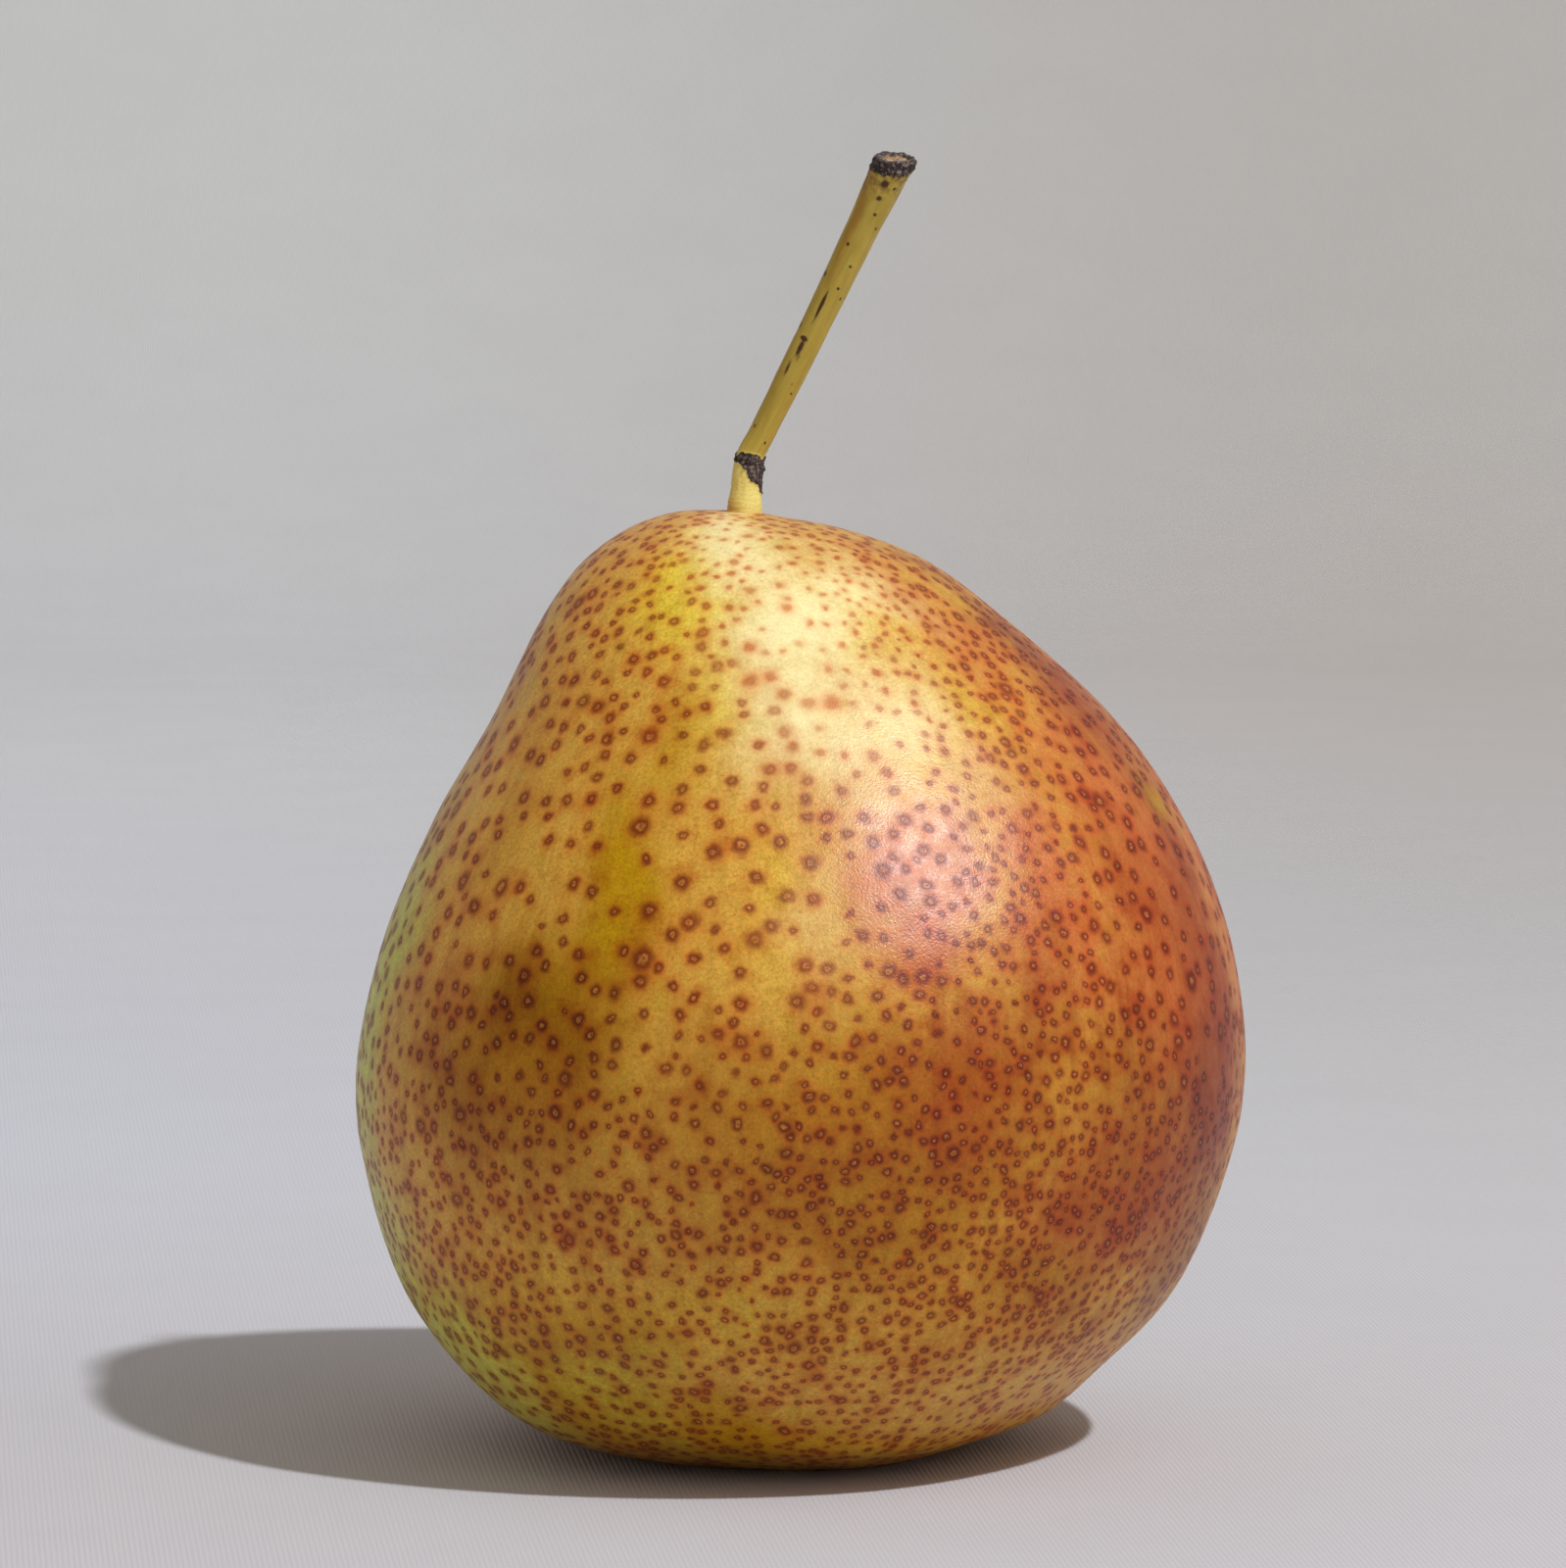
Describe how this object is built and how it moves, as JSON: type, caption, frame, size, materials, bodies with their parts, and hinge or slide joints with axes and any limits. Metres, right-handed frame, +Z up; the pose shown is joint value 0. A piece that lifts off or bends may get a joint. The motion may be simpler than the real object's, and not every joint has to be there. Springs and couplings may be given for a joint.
{
  "type": "pear",
  "caption": "Whole fresh pear, plump with a short leaning neck and speckled blushed skin, standing on its calyx end with a bent woody stalk on top.",
  "frame": {"origin": "on the resting surface, under the middle of the fruit's box", "axes": "+Z up from the calyx end to the stalk, +X the way the stalk leans, -Y towards the side seen in the picture"},
  "size_m": [0.0704, 0.0712, 0.1026],
  "materials": {
    "skin": "waxy satin skin, yellow with an orange-red blush and small red-brown speckles",
    "stalk": "olive-gold fibrous bark, dark corky knee and rim",
    "calyx": "dry, matt, dark brown"
  },
  "bodies": {
    "root": {"fruit_body": "skin", "stalk": "stalk", "calyx": "calyx"}
  },
  "joints": []
}
